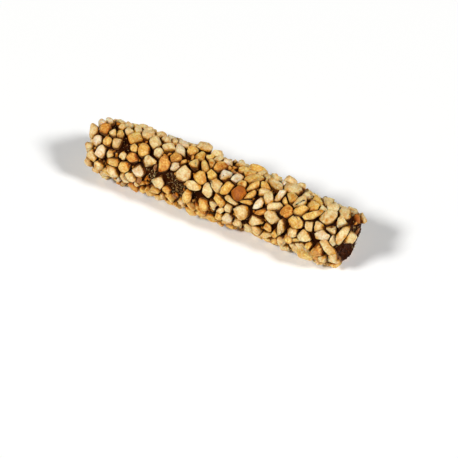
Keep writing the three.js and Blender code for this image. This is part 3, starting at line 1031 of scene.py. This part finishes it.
def chipBodies():
    # the largest first: a chip goes wherever it fits between the nuts and the chips before it
    share = chance(np.arange(chips["tries"]), 110) ** chips["sizePower"]
    size = np.sort(between(chips["size"], share))[::-1]
    places = scatteredPlaces(chips["tries"], chips["placeSeed"], chips["lift"])
    onPatch = shareNear(places, barePatches, nuts["lift"]) > 0.5
    onPatch |= shareNear(places, chipFree) > 0.5
    onEnd = places[:, 0] > stick["length"] / 2 - chips["endFree"]
    fits = np.flatnonzero((gapToNuts(places) > size + chips["room"]) & ~onPatch & ~onEnd)
    kept = []
    for n in fits:
        apart = np.linalg.norm(places[kept] - places[n], axis=-1)
        if (apart > chips["apart"] * (size[kept] + size[n])).all():
            kept.append(n)
        if len(kept) == chips["most"]:
            break
    return places[kept], size[kept]


makeSmall("nutChips", "nut_golden", kernelFinish("chip", kernels["golden"]), chips, *chipBodies())

flake = dict(lift=0.35, thickness=0.4, rise=(0, 1), cells=3, uneven=0.12, bodySeed=31, firstNumber=5000)
# Flakes of the brown skin: along, turn round the stick, how far across and half the length.
skinFlakes = [
    (-14.5, 13, 8, 1.1),
    (3.5, -2, 8, 0.9),
    (-1.5, 115, 8, 1.2),
    (-24, 90, 8, 1.1),
    (-11.5, 96, 8, 1.2),
    (28, -8, 8, 0.9),
    (-19, 50, 8, 1.1),
    (60, -45, 2.4, 1.2),
    (-8, 205, 8, 1.1),
    (22, 150, 8, 1),
    (-34, 260, 8, 1.1),
    (6, 300, 8, 1),
    (-50, 120, 4, 1.1),
]
along, turn, across, size = np.array(skinFlakes, float).T
places = seated(spots(along, turn, across, flake["lift"]), flake["lift"])
makeSmall("skinFlakes", "nut_toasted", kernelFinish("skin", skinLook), flake, places, size)

dust = dict(
    tries=30000,
    most=3600,
    size=(0.08, 0.22),
    sizePower=2,
    room=0.15,
    elsewhere=0.1,         # share that lies away from the dust and glint places below
    lift=-0.18,
    rise=(0, 1.2),
    cells=1,
    uneven=0.1,
    placeSeed=21,
    bodySeed=22,
    firstNumber=3000,
)
# Where most of the dust lies, as for the bare patches; the pale specks on the +X rim are painted glints.
dustAndGlintPlaces = [
    (-20, 60, 2.6),
    (-12.5, 62, 3.2),
    (-11, 78, 3),
    (-30, 215, 3),
    (14, 250, 3),
    (33, 200, 3),
    # pale specks here stand in for glints: a painted highlight
    (40.8, 80, 1.3, 8),
    (60, -40, 2.4, 4),
]


def dustBodies():
    # wherever there is room between the nuts, if the place's chance is below its share
    places = scatteredPlaces(dust["tries"], dust["placeSeed"], dust["lift"])
    share = np.maximum(shareNear(places, dustAndGlintPlaces), dust["elsewhere"])
    allowed = chance(np.arange(len(places)), 112) < share
    places = places[(gapToNuts(places) > dust["room"]) & allowed][:dust["most"]]
    return places, between(dust["size"], chance(np.arange(len(places)), 111) ** dust["sizePower"])


makeSmall("nutDustAndGlints", "nut_golden", kernelFinish("dust", crumbLook), dust, *dustBodies(), smooth=False)

view = dict(
    azimuth=29.3,          # degrees from straight in front, towards +X
    elevation=45,
    lens=100,
    sensor=36,
    distance=0.370,
    aside=-0.0144,         # where the part's middle stands in the frame, in frame widths
    above=0.086,
)
studio = dict(
    floorHalf=1.5,         # half a side, in metres
    floorColour="#fdfdfc",
    floorRoughness=0.9,
    floorShine=0.1,
    lamps=((-57, 42, 1118), (55.5, 40.5, 1083)),   # turn from the camera's side, elevation and watts
    away=12,
    size=2.8,
    sky=0.02,
)


def wayTo(azimuth, elevation):
    # from the part towards a place seen at these angles: sideways by the sine of the azimuth, and up
    # by the sine of the elevation
    a, e = np.radians(azimuth), np.radians(elevation)
    return Vector((np.sin(a) * np.cos(e), -np.cos(a) * np.cos(e), np.sin(e)))


def makeFloor():
    # a matt pale square at the height of the table
    edge = studio["floorHalf"]
    corners = [(-edge, -edge, 0), (edge, -edge, 0), (edge, edge, 0), (-edge, edge, 0)]
    mesh = bpy.data.meshes.new("floor")
    mesh.from_pydata(corners, [], [(0, 1, 2, 3)])
    material, tree, shader = newFinish("paleFloor")
    setSockets(tree, shader, {
        "Base Color": linear(studio["floorColour"]),
        "Roughness": studio["floorRoughness"],
        "Specular IOR Level": studio["floorShine"],
    })
    mesh.materials.append(material)
    floor = newObject("floor", mesh)


def makeLamps(centre):
    # large round softboxes far away, which face the part, and a faint even sky
    for number, (turn, elevation, power) in enumerate(studio["lamps"]):
        lamp = bpy.data.lights.new("softbox%d" % number, "AREA")
        lamp.shape = "DISK"
        lamp.size = studio["size"]
        lamp.energy = power
        softbox = newObject(lamp.name, lamp)
        way = wayTo(view["azimuth"] + turn, elevation)
        softbox.location = centre + way * studio["away"]
        softbox.rotation_euler = way.to_track_quat("Z", "Y").to_euler()
    world = bpy.data.worlds.new("studio")
    world.use_nodes = True
    setSockets(world.node_tree, world.node_tree.nodes["Background"], {
        "Color": (1, 1, 1, 1),
        "Strength": studio["sky"],
    })
    bpy.context.scene.world = world


def makeCamera(centre):
    # moved sideways and down from the line to the part, so the part stands off the frame's middle
    back = wayTo(view["azimuth"], view["elevation"])
    right = wayTo(view["azimuth"] + 90, 0)
    up = back.cross(right)
    frameWidth = view["distance"] * view["sensor"] / view["lens"]
    data = bpy.data.cameras.new("camera")
    data.lens = view["lens"]
    data.sensor_width = view["sensor"]
    camera = newObject("camera", data)
    camera.location = (centre + back * view["distance"] - right * view["aside"] * frameWidth
                       - up * view["above"] * frameWidth)
    camera.rotation_euler = back.to_track_quat("Z", "Y").to_euler()
    bpy.context.scene.camera = camera


centre = Vector((0, 0, stick["stand"] * mm))
makeFloor()
makeLamps(centre)
makeCamera(centre)
bpy.context.scene.view_settings.view_transform = "Standard"
print("floor, lamps and camera set")
